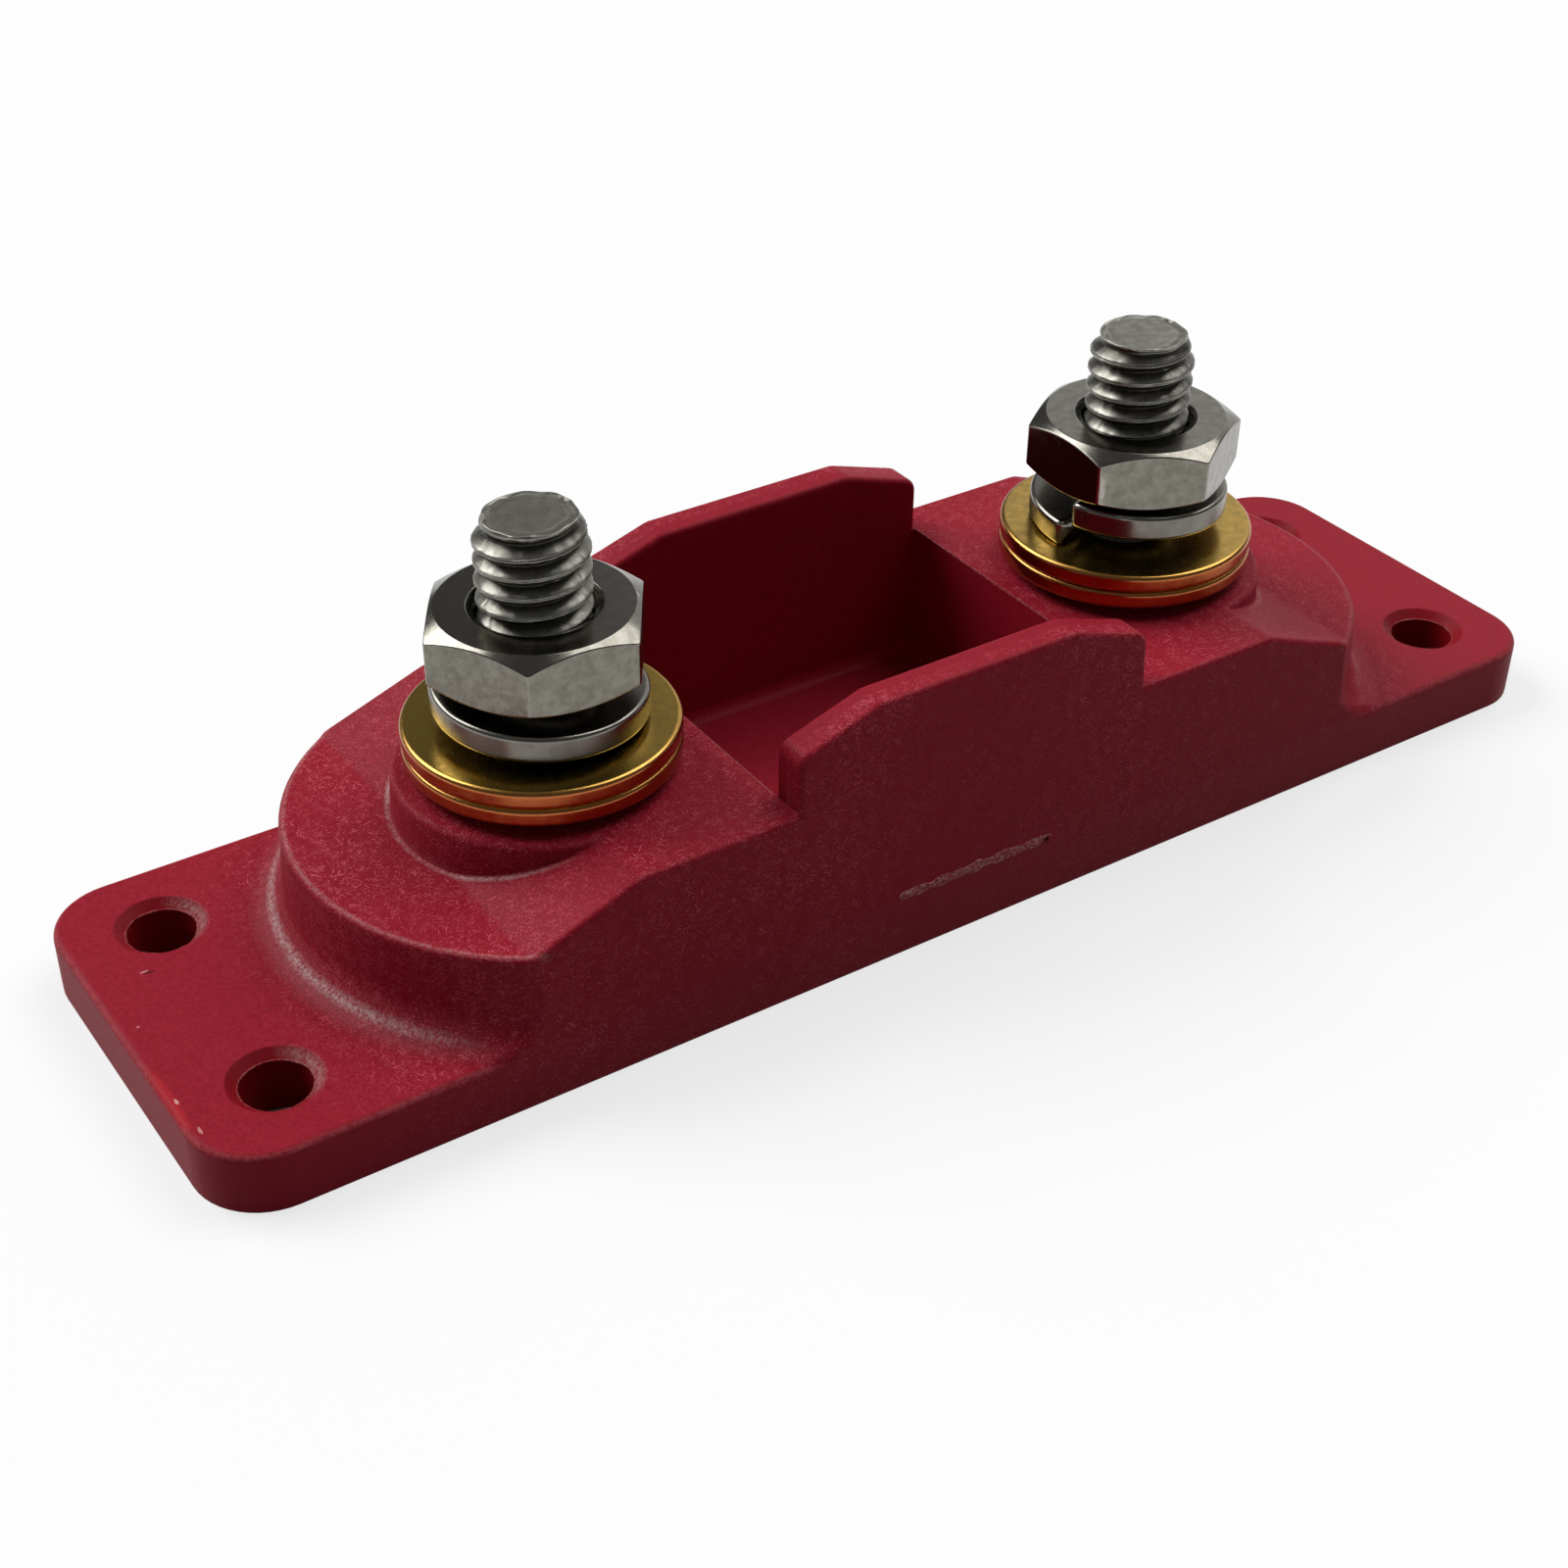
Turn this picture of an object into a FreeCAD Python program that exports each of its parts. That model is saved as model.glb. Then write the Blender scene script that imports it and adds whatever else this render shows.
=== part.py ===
import FreeCAD, Part
import math
import os

from FreeCAD import Vector

# Mega fuse holder: a moulded base with two mounting ends and a fuse bay between two guard fins,
# and two threaded studs. Each stud carries two flat washers, a split lock washer and a hex nut.
#
# Frame: origin under the middle of the base, X along the base from stud to stud,
# Y across it, Z up from the surface that the holder is screwed to. All sizes are millimetres.

# Mounting plate: a tab of it reaches past each round end of the block
BASE_WIDTH = 31.9
TAB_LENGTH = 13.7
PLATE_THICKNESS = 4.6
PLATE_CORNER_RADIUS = 5.0
PLATE_RIM_RADIUS = 0.5

# Mounting holes, one near each corner of the plate
HOLE_TO_END = 6.75
HOLE_TO_SIDE = 6.55
HOLE_RADIUS = 2.45
HOLE_LEAD_IN = 0.75
HOLE_LEAD_IN_DEPTH = 0.6

# Raised block on the plate
STUD_SPACING = 50.8
TOP_HEIGHT = 14.4
LAND_DROP = 3.1
RAMP_START_PAST_STUD = 1.4
RAMP_RUN = 8.3
RAMP_KINK_RADIUS = 1.5
END_BULGE = 2.15
END_DRAFT_DEG = 3.0
END_FOOT_RADIUS = 2.6
SIDE_DRAFT_DEG = 3.6
CORNER_RADIUS = 0.8
EDGE_RADIUS = 0.4

# Round boss and washer seat under each stud, sized from the washers that lie on them
BOSS_MARGIN = 0.9
BOSS_DRAFT_DEG = 3.0
SEAT_INSET = 1.5
SEAT_HEIGHT = 0.85

# Fuse bay and the guard fin on each side of it
BAY_WALL_TO_STUD = 10.7
BAY_FLOOR_HEIGHT = 3.7
BAY_FLOOR_RADIUS = 1.0
FIN_TOP_THICKNESS = 2.65
FIN_SHOULDER_RISE = 4.2
FIN_SLOPE_RISE = 2.1
FIN_TOP_LENGTH = 16.4
FIN_SHOULDER_RADIUS = 1.2
FIN_KINK_RADIUS = 2.0

# Studs: hex head bolts let into hex pockets from below
STUD_DIAMETER = 7.9
STUD_LENGTH = 25.4
STUD_TIP_CHAMFER = 0.85
STUD_HOLE_CLEARANCE = 0.1
HEAD_ACROSS_FLATS = 12.7
HEAD_HEIGHT = 5.3
HEAD_RECESS = 2.3
HEAD_CLEARANCE = 0.1

# Flat washers, two on each stud
FLAT_WASHER_DIAMETER = 19.0
FLAT_WASHER_PLAY = 0.8
FLAT_WASHER_THICKNESS = 1.35
FLAT_WASHER_EDGE_RADIUS = 0.3

# Split lock washers, uncompressed: one turn of a left-hand helix
LOCK_WASHER_DIAMETER = 14.7
LOCK_WASHER_PLAY = 0.4
LOCK_WASHER_THICKNESS = 1.95
LOCK_WASHER_EDGE = 0.3
LOCK_WASHER_RISE = 2.05
LOCK_WASHER_SPLIT_DEG = 8.0
LEFT_SPLIT_START_DEG = 24.0
RIGHT_SPLIT_START_DEG = 195.0

# Nuts
NUT_ACROSS_FLATS = 13.9
NUT_THICKNESS = 4.6
NUT_BORE_CLEARANCE = 0.1
NUT_BORE_LEAD_IN = 0.55
NUT_FACE_INSET = 0.3
NUT_CHAMFER_DEG = 30.0
LEFT_NUT_CORNER_DEG = -2.6
RIGHT_NUT_CORNER_DEG = 31.0

# Worked out from the sizes above
STUD_X = STUD_SPACING / 2
STUD_RADIUS = STUD_DIAMETER / 2
END_RADIUS = BASE_WIDTH / 2 + END_BULGE
BASE_LENGTH = 2 * (STUD_X + END_RADIUS + TAB_LENGTH)
HOLE_X = BASE_LENGTH / 2 - HOLE_TO_END
HOLE_Y = BASE_WIDTH / 2 - HOLE_TO_SIDE
LAND_HEIGHT = TOP_HEIGHT - LAND_DROP
FIN_SHOULDER_HEIGHT = TOP_HEIGHT + FIN_SHOULDER_RISE
FIN_TOP_HEIGHT = FIN_SHOULDER_HEIGHT + FIN_SLOPE_RISE
BAY_LENGTH = 2 * (STUD_X - BAY_WALL_TO_STUD)
BOSS_RADIUS = FLAT_WASHER_DIAMETER / 2 + BOSS_MARGIN
SEAT_RADIUS = FLAT_WASHER_DIAMETER / 2 - SEAT_INSET
SEAT_TOP = TOP_HEIGHT + SEAT_HEIGHT
UNDER_HEAD = HEAD_RECESS + HEAD_HEIGHT
LOWER_WASHER_Z = SEAT_TOP
UPPER_WASHER_Z = LOWER_WASHER_Z + FLAT_WASHER_THICKNESS
LOCK_WASHER_Z = UPPER_WASHER_Z + FLAT_WASHER_THICKNESS
NUT_Z = LOCK_WASHER_Z + LOCK_WASHER_THICKNESS + LOCK_WASHER_RISE
DRAFT_SLOPE = math.tan(math.radians(SIDE_DRAFT_DEG))
FIN_TOP_HALF_WIDTH = BASE_WIDTH / 2 - DRAFT_SLOPE * (FIN_TOP_HEIGHT - PLATE_THICKNESS)
BAY_WIDTH = 2 * (FIN_TOP_HALF_WIDTH - FIN_TOP_THICKNESS)
OVERLAP = 1.0


def outline(corners, to_3d):
    """Closed face through (u, v, radius) corners, each rounded to its radius, placed by to_3d(u, v)."""
    count = len(corners)
    starts, ends, middles = [], [], []
    for i, (u, v, radius) in enumerate(corners):
        corner = Vector(u, v, 0)
        before = Vector(*corners[i - 1][:2], 0)
        after = Vector(*corners[(i + 1) % count][:2], 0)
        inward = (before - corner).normalize()
        outward = (after - corner).normalize()
        half_angle = inward.getAngle(outward) / 2
        setback = radius / math.tan(half_angle)
        bisector = (inward + outward).normalize()
        centre = corner + bisector * (radius / math.sin(half_angle))
        starts.append(corner + inward * setback)
        ends.append(corner + outward * setback)
        middles.append(centre - bisector * radius)
    edges = []
    for i in range(count):
        if corners[i][2] > 0:
            arc = (starts[i], middles[i], ends[i])
            edges.append(Part.Arc(*[to_3d(p.x, p.y) for p in arc]).toShape())
        leg_start, leg_end = ends[i], starts[(i + 1) % count]
        edges.append(Part.LineSegment(to_3d(leg_start.x, leg_start.y), to_3d(leg_end.x, leg_end.y)).toShape())
    return Part.Face(Part.Wire(edges))


def in_xz(y):
    """Places an outline in the plane at the given Y."""
    return lambda u, v: Vector(u, y, v)


def in_yz(x):
    """Places an outline in the plane at the given X."""
    return lambda u, v: Vector(x, u, v)


def in_xy(z):
    """Places an outline in the plane at the given Z."""
    return lambda u, v: Vector(u, v, z)


def sharp(points):
    """Outline corners with no rounding."""
    return [(u, v, 0) for u, v in points]


def revolved(corners, x):
    """Solid of revolution about the upright line through (x, 0) from (radius, z, rounding) corners."""
    face = outline(corners, lambda r, z: Vector(x + r, 0, z))
    return face.revolve(Vector(x, 0, 0), Vector(0, 0, 1), 360)


def hex_prism(across_flats, corner_deg, x, z, height):
    """Hexagonal prism standing at (x, 0, z) with one corner at the given angle from +X."""
    reach = across_flats / 2 / math.cos(math.radians(30))
    angles = [math.radians(corner_deg + 60 * k) for k in range(6)]
    points = [(x + reach * math.cos(a), reach * math.sin(a)) for a in angles]
    return outline(sharp(points), in_xy(z)).extrude(Vector(0, 0, height))


def edges_like(shape, wanted):
    """Edges whose middle point passes the given test, which also gets the edge."""
    found = []
    for edge in shape.Edges:
        middle = edge.valueAt((edge.FirstParameter + edge.LastParameter) / 2)
        if wanted(middle, edge):
            found.append(edge)
    return found


def half_width(z):
    """Half the width of the drafted block at a height above the plate."""
    return BASE_WIDTH / 2 - DRAFT_SLOPE * (z - PLATE_THICKNESS)


def make_plate():
    """Flat mounting plate with rounded corners and a softened upper rim."""
    x, y, r = BASE_LENGTH / 2, BASE_WIDTH / 2, PLATE_CORNER_RADIUS
    corners = [(-x, -y, r), (x, -y, r), (x, y, r), (-x, y, r)]
    plate = outline(corners, in_xy(0)).extrude(Vector(0, 0, PLATE_THICKNESS))
    rim = edges_like(plate, lambda p, edge: abs(p.z - PLATE_THICKNESS) < 1e-6)
    return plate.makeFillet(PLATE_RIM_RADIUS, rim)


def drafted_slab(height):
    """The plate's width carried up to a height, upright beside the plate and drafted above it."""
    low, high = BASE_WIDTH / 2, half_width(height)
    points = [(-low, 0), (low, 0), (low, PLATE_THICKNESS), (high, height), (-high, height), (-low, PLATE_THICKNESS)]
    face = outline(sharp(points), in_yz(-BASE_LENGTH / 2))
    return face.extrude(Vector(BASE_LENGTH, 0, 0))


def round_end(x):
    """Round end of the block about a stud, with its draft and the concave foot on the plate."""
    slope = math.tan(math.radians(END_DRAFT_DEG))
    wall_foot = END_RADIUS + slope * (LAND_HEIGHT - PLATE_THICKNESS)
    wall_top = END_RADIUS - slope * (TOP_HEIGHT - LAND_HEIGHT)
    foot_reach = wall_foot + 2 * END_FOOT_RADIUS
    corners = [(0, 0, 0), (foot_reach, 0, 0), (foot_reach, PLATE_THICKNESS, 0),
               (wall_foot, PLATE_THICKNESS, END_FOOT_RADIUS), (wall_top, TOP_HEIGHT, 0), (0, TOP_HEIGHT, 0)]
    return revolved(corners, x)


def make_block():
    """Raised block: flat middle, a ramp down to a low land at each round end."""
    ends = round_end(-STUD_X).fuse(round_end(STUD_X))
    middle = Part.makeBox(STUD_SPACING, BASE_WIDTH + 2 * OVERLAP, TOP_HEIGHT,
                          Vector(-STUD_X, -BASE_WIDTH / 2 - OVERLAP, 0))
    block = ends.fuse(middle).common(drafted_slab(TOP_HEIGHT)).removeSplitter()
    block = block.makeFillet(CORNER_RADIUS, edges_like(block, is_block_corner))
    block = block.common(side_profile()).removeSplitter()
    return block.makeFillet(EDGE_RADIUS, edges_like(block, is_block_rim))


def side_profile():
    """The block's outline seen from the side, wider than the block, with soft kinks at each ramp."""
    ramp_top = STUD_X + RAMP_START_PAST_STUD
    ramp_foot = ramp_top + RAMP_RUN
    reach = BASE_LENGTH / 2
    corners = [(-reach, 0, 0), (reach, 0, 0), (reach, LAND_HEIGHT, 0), (ramp_foot, LAND_HEIGHT, RAMP_KINK_RADIUS),
               (ramp_top, TOP_HEIGHT, RAMP_KINK_RADIUS), (-ramp_top, TOP_HEIGHT, RAMP_KINK_RADIUS),
               (-ramp_foot, LAND_HEIGHT, RAMP_KINK_RADIUS), (-reach, LAND_HEIGHT, 0)]
    return outline(corners, in_xz(-BASE_WIDTH)).extrude(Vector(0, 2 * BASE_WIDTH, 0))


def edge_spans(edge):
    """How far an edge goes from end to end along X, Y and Z."""
    way = edge.Vertexes[0].Point - edge.Vertexes[-1].Point
    return abs(way.x), abs(way.y), abs(way.z)


def is_block_corner(p, edge):
    """True for the upright edges where a side of the block meets a round end, above the foot."""
    at_side = abs(abs(p.y) - half_width(p.z)) < 1e-3
    return at_side and p.z > PLATE_THICKNESS + END_FOOT_RADIUS and edge_spans(edge)[2] > OVERLAP


def is_block_rim(p, edge):
    """True for the edges round the top of the block, and not for those that cross it or run down its sides."""
    along_x, along_y, rise = edge_spans(edge)
    crosses = along_x < 1e-3 and abs(p.x) < STUD_X + END_RADIUS - OVERLAP
    return p.z > LAND_HEIGHT - 1e-3 and math.hypot(along_x, along_y) > rise and not crosses


def make_boss(x):
    """Round boss that carries the flat top out over the ramp, and the low washer seat on it."""
    slope = math.tan(math.radians(BOSS_DRAFT_DEG))
    foot = BOSS_RADIUS + slope * (TOP_HEIGHT - PLATE_THICKNESS)
    boss = revolved([(0, PLATE_THICKNESS, 0), (foot, PLATE_THICKNESS, 0), (BOSS_RADIUS, TOP_HEIGHT, EDGE_RADIUS),
                     (0, TOP_HEIGHT, 0)], x)
    seat = Part.makeCylinder(SEAT_RADIUS, SEAT_HEIGHT + OVERLAP, Vector(x, 0, TOP_HEIGHT - OVERLAP))
    return boss.fuse(seat)


def make_fins():
    """Pair of guard fins beside the fuse bay, with rounded shoulders and sloped shoulders to the top."""
    end, top = BAY_LENGTH / 2, FIN_TOP_LENGTH / 2
    side_view = [(-end, PLATE_THICKNESS, 0), (end, PLATE_THICKNESS, 0), (end, FIN_SHOULDER_HEIGHT, FIN_SHOULDER_RADIUS),
                 (top, FIN_TOP_HEIGHT, FIN_KINK_RADIUS), (-top, FIN_TOP_HEIGHT, FIN_KINK_RADIUS),
                 (-end, FIN_SHOULDER_HEIGHT, FIN_SHOULDER_RADIUS)]
    profile = outline(side_view, in_xz(-BASE_WIDTH)).extrude(Vector(0, 2 * BASE_WIDTH, 0))
    pair = drafted_slab(FIN_TOP_HEIGHT).common(profile)
    pair = pair.cut(Part.makeBox(BASE_LENGTH, BAY_WIDTH, FIN_TOP_HEIGHT + OVERLAP, Vector(-BASE_LENGTH / 2, -BAY_WIDTH / 2, 0)))
    rims = edges_like(pair, lambda p, edge: p.z > TOP_HEIGHT - OVERLAP and edge_width(edge) < FIN_TOP_THICKNESS / 2)
    return pair.makeFillet(EDGE_RADIUS, rims)


def edge_width(edge):
    """How far an edge runs across the base from end to end."""
    return abs(edge.Vertexes[0].Point.y - edge.Vertexes[-1].Point.y)


def make_bay():
    """Space cut out for the fuse, with a rounded floor."""
    depth = FIN_TOP_HEIGHT - BAY_FLOOR_HEIGHT + OVERLAP
    bay = Part.makeBox(BAY_LENGTH, BAY_WIDTH, depth, Vector(-BAY_LENGTH / 2, -BAY_WIDTH / 2, BAY_FLOOR_HEIGHT))
    floor = edges_like(bay, lambda p, edge: abs(p.z - BAY_FLOOR_HEIGHT) < 1e-6)
    return bay.makeFillet(BAY_FLOOR_RADIUS, floor)


def make_mounting_hole(x, y):
    """Screw hole with a short conical lead-in at the top of the plate."""
    bore = Part.makeCylinder(HOLE_RADIUS, PLATE_THICKNESS + 2 * OVERLAP, Vector(x, y, -OVERLAP))
    lead_in = Part.makeCone(HOLE_RADIUS, HOLE_RADIUS + HOLE_LEAD_IN, HOLE_LEAD_IN_DEPTH,
                            Vector(x, y, PLATE_THICKNESS - HOLE_LEAD_IN_DEPTH))
    return bore.fuse(lead_in)


def make_stud_pocket(x):
    """Hex pocket for a stud's head, open below, and the hole for its shank."""
    pocket = hex_prism(HEAD_ACROSS_FLATS + 2 * HEAD_CLEARANCE, 0, x, 0, UNDER_HEAD)
    shank = Part.makeCylinder(STUD_RADIUS + STUD_HOLE_CLEARANCE, SEAT_TOP, Vector(x, 0, OVERLAP))
    return pocket.fuse(shank)


def make_base():
    """The moulded base in one piece."""
    base = make_plate().fuse(make_block())
    for x in (-STUD_X, STUD_X):
        base = base.fuse(make_boss(x))
    base = base.fuse(make_fins()).cut(make_bay())
    for x in (-HOLE_X, HOLE_X):
        for y in (-HOLE_Y, HOLE_Y):
            base = base.cut(make_mounting_hole(x, y))
    for x in (-STUD_X, STUD_X):
        base = base.cut(make_stud_pocket(x))
    return base.removeSplitter()


def double_chamfered(prism, across_flats, x, z, height, inset, faces):
    """Cuts the corners of a hex prism back to a cone at each named face, as turned nuts and heads are."""
    reach = across_flats / 2 / math.cos(math.radians(30))
    flat_radius = across_flats / 2 - inset
    drop = (reach - flat_radius) * math.tan(math.radians(NUT_CHAMFER_DEG))
    low = drop if "bottom" in faces else 0
    high = drop if "top" in faces else 0
    points = [(0, z), (flat_radius if low else reach, z), (reach, z + low), (reach, z + height - high),
              (flat_radius if high else reach, z + height), (0, z + height)]
    distinct = [p for i, p in enumerate(points) if p != points[i - 1]]
    return prism.common(revolved(sharp(distinct), x))


def make_stud(x):
    """Stud: hex head in the base, plain shank at the thread's outer size, chamfered tip."""
    tip = UNDER_HEAD + STUD_LENGTH
    shank = revolved(sharp([(0, HEAD_RECESS), (STUD_RADIUS, HEAD_RECESS), (STUD_RADIUS, tip - STUD_TIP_CHAMFER),
                            (STUD_RADIUS - STUD_TIP_CHAMFER, tip), (0, tip)]), x)
    head = hex_prism(HEAD_ACROSS_FLATS, 0, x, HEAD_RECESS, HEAD_HEIGHT)
    head = double_chamfered(head, HEAD_ACROSS_FLATS, x, HEAD_RECESS, HEAD_HEIGHT, NUT_FACE_INSET, ["bottom"])
    return shank.fuse(head).removeSplitter()


def make_flat_washer(x, z):
    """Flat washer with its outer edges rounded as punching and barrel plating leave them."""
    bore, rim = (STUD_DIAMETER + FLAT_WASHER_PLAY) / 2, FLAT_WASHER_DIAMETER / 2
    top = z + FLAT_WASHER_THICKNESS
    corners = [(bore, z, 0), (rim, z, FLAT_WASHER_EDGE_RADIUS), (rim, top, FLAT_WASHER_EDGE_RADIUS), (bore, top, 0)]
    return revolved(corners, x)


def make_lock_washer(x, split_start_deg):
    """Split lock washer: a bar wound once down a left-hand helix, from its high end to its low end."""
    inner, outer = (STUD_DIAMETER + LOCK_WASHER_PLAY) / 2, LOCK_WASHER_DIAMETER / 2
    middle = (inner + outer) / 2
    half_wide, half_tall = (outer - inner) / 2, LOCK_WASHER_THICKNESS / 2
    turn = 360 - LOCK_WASHER_SPLIT_DEG
    pitch = LOCK_WASHER_RISE * 360 / turn
    spine = Part.makeHelix(pitch, LOCK_WASHER_RISE, middle, 0, True)
    c = LOCK_WASHER_EDGE
    w, t = half_wide, half_tall
    section = [(w - c, -t), (w, c - t), (w, t - c), (w - c, t), (c - w, t), (-w, t - c), (-w, c - t), (c - w, -t)]
    wire = outline(sharp(section), lambda u, v: Vector(middle + u, 0, v)).OuterWire
    bar = Part.Wire(spine.Edges).makePipeShell([wire], True, True)
    bar.rotate(Vector(0, 0, 0), Vector(0, 0, 1), split_start_deg + turn)
    bar.translate(Vector(x, 0, LOCK_WASHER_Z + half_tall))
    return bar


def make_nut(x, corner_deg):
    """Double-chamfered hex nut with a plain bore and a conical lead-in at each face."""
    bore = STUD_RADIUS + NUT_BORE_CLEARANCE
    nut = hex_prism(NUT_ACROSS_FLATS, corner_deg, x, NUT_Z, NUT_THICKNESS)
    nut = double_chamfered(nut, NUT_ACROSS_FLATS, x, NUT_Z, NUT_THICKNESS, NUT_FACE_INSET, ["top", "bottom"])
    top, lead = NUT_Z + NUT_THICKNESS, NUT_BORE_LEAD_IN
    hole = revolved(sharp([(0, NUT_Z), (bore + lead, NUT_Z), (bore, NUT_Z + lead), (bore, top - lead),
                           (bore + lead, top), (0, top)]), x)
    return nut.cut(hole)


def build_parts():
    """Every piece of the holder by name."""
    parts = {"base": make_base()}
    sides = {"left": (-STUD_X, LEFT_SPLIT_START_DEG, LEFT_NUT_CORNER_DEG),
             "right": (STUD_X, RIGHT_SPLIT_START_DEG, RIGHT_NUT_CORNER_DEG)}
    for side, (x, split_start, nut_corner) in sides.items():
        parts[side + "_stud"] = make_stud(x)
        parts[side + "_flat_washer_lower"] = make_flat_washer(x, LOWER_WASHER_Z)
        parts[side + "_flat_washer_upper"] = make_flat_washer(x, UPPER_WASHER_Z)
        parts[side + "_lock_washer"] = make_lock_washer(x, split_start)
        parts[side + "_nut"] = make_nut(x, nut_corner)
    return parts


def main():
    """Builds every piece, reports it and writes it out."""
    os.makedirs("parts", exist_ok=True)
    for name, shape in build_parts().items():
        box = shape.BoundBox
        print(f"{name:26s} solids {len(shape.Solids)} valid {shape.isValid()} volume {shape.Volume:9.2f} "
              f"x {box.XMin:7.2f} {box.XMax:7.2f} y {box.YMin:7.2f} {box.YMax:7.2f} z {box.ZMin:6.2f} {box.ZMax:6.2f}")
        shape.exportStep(f"parts/{name}.step")


main()
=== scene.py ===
"""Mega fuse holder: a crimson moulded base with two threaded studs, dressed for the render.

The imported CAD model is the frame. The base keeps its CAD solid and gets its moulded finish here.
Studs, washers and nuts are built again as numpy surfaces, with threads, rounded edges and marks.
Places and sizes are in millimetres until a mesh is made, and in metres from there on.
"""

import logging
import math
from collections.abc import Callable
from dataclasses import dataclass
from enum import Enum
from functools import partial
from typing import ClassVar

import bpy
import numpy as np
from mathutils import Matrix, Vector
from mathutils.bvhtree import BVHTree


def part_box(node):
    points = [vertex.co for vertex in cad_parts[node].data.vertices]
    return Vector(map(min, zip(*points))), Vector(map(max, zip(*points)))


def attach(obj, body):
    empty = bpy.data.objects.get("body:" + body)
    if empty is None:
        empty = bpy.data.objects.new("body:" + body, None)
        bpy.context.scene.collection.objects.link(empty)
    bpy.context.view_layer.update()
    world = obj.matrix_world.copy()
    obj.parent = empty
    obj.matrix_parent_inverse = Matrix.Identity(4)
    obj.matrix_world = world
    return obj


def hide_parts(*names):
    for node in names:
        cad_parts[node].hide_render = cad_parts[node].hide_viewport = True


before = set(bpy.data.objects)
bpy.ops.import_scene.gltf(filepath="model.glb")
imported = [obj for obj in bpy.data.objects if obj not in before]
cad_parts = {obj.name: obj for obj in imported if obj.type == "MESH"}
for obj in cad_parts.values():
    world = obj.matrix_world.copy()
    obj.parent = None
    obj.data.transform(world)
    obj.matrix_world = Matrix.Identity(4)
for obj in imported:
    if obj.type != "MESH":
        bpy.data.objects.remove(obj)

MM = 0.001
TO_MM = 1000.0
CHAMFER_SLOPE = math.tan(math.radians(30))
LEG_SHARE, SUPPORT_SHARE = 0.45, 0.04
log = logging.getLogger("fuse_holder")

Array, Object, Material = np.ndarray, bpy.types.Object, bpy.types.Material
Tree, Node, Socket = bpy.types.NodeTree, bpy.types.Node, bpy.types.NodeSocket
Pair, Triple = tuple[float, float], tuple[float, float, float]
Feed = Node | Socket | float | str | tuple[float, ...]
Adder = Callable[..., Node]
Surface = tuple[Array, list[Array]]


class Side(Enum):
    """The two ends of the holder, named as seen from the long side that faces the camera."""

    LEFT = "left"
    RIGHT = "right"


class Slot(Enum):
    """Material slots."""

    MOULDING = "moulding"
    STUD = "stud_steel"
    ZINC = "yellow_zinc"
    BRIGHT = "bright_steel"


# Colours and nodes


def linear(colour: str) -> tuple[float, float, float, float]:
    """Turns an sRGB hex colour into linear red, green, blue and a full alpha.

    Args:
        colour: six hex digits after a hash sign.

    Returns:
        Four numbers as Blender's sockets take them.
    """
    parts = [int(colour[i : i + 2], 16) / 255 for i in (1, 3, 5)]
    red, green, blue = (c / 12.92 if c <= 0.04045 else ((c + 0.055) / 1.055) ** 2.4 for c in parts)
    return red, green, blue, 1.0


def add_node(tree: Tree, kind: str, inputs: dict[str | int, Feed] | tuple[Feed, ...] = (), **settings: object) -> Node:
    """Adds one node to a tree with its settings, input values and links.

    Args:
        tree: the node tree.
        kind: Blender's name of the node type, without the leading ShaderNode.
        inputs: what feeds each input, in order or by name: a node, of which the first output is
            taken, an output socket, a number, a vector, or a colour as hex.
        settings: node properties by name.

    Returns:
        The new node.
    """
    node = tree.nodes.new("ShaderNode" + kind)
    for name, value in settings.items():
        setattr(node, name, value)
    for key, value in inputs.items() if isinstance(inputs, dict) else enumerate(inputs):
        if isinstance(value, Node):
            value = value.outputs[0]
        if isinstance(value, Socket):
            tree.links.new(value, node.inputs[key])
        else:
            node.inputs[key].default_value = linear(value) if isinstance(value, str) else value
    return node


def emptied(owner: Material | bpy.types.World) -> Adder:
    """Empties the node tree of a material or world, and binds add_node to that tree."""
    owner.use_nodes = True
    owner.node_tree.nodes.clear()
    return partial(add_node, owner.node_tree)


def new_material(name: str) -> tuple[Material, Adder, Node]:
    """Starts a material: itself, what adds its nodes, and object coordinates in millimetres."""
    made = bpy.data.materials.new(name)
    add = emptied(made)
    coords = add("TexCoord").outputs["Object"]
    return made, add, add("VectorMath", {0: coords, "Scale": TO_MM}, operation="SCALE")


def product(add: Adder, *parts: Feed | tuple[Feed, ...]) -> Feed:
    """Multiplies masks in turn.

    Args:
        add: adds a node to the tree.
        parts: each a value, or a tuple of what a MapRange takes.

    Returns:
        What holds the product.
    """
    total = None
    for part in parts:
        if isinstance(part, tuple):
            part = add("MapRange", part)
        total = part if total is None else add("Math", (total, part), operation="MULTIPLY")
    return total


def from_axis(add: Adder, place: Feed, x: float, y: float) -> Socket:
    """Distance from the upright axis through (x, y): the length of the place less the axis, laid flat."""
    away = add("VectorMath", (place, (x, y, 0.0)), operation="SUBTRACT")
    flat = add("VectorMath", (away, (1.0, 1.0, 0.0)), operation="MULTIPLY")
    return add("VectorMath", (flat,), operation="LENGTH").outputs["Value"]


# Surfaces


def joined(*parts: Array | float) -> Array:
    """Points from their coordinates, each an array or a number, spread to one shape."""
    return np.stack(np.broadcast_arrays(*parts), axis=-1)


def unit(v: Array) -> Array:
    """Vectors along the last axis, scaled to length 1."""
    return v / np.maximum(np.linalg.norm(v, axis=-1, keepdims=True), 1e-12)


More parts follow.
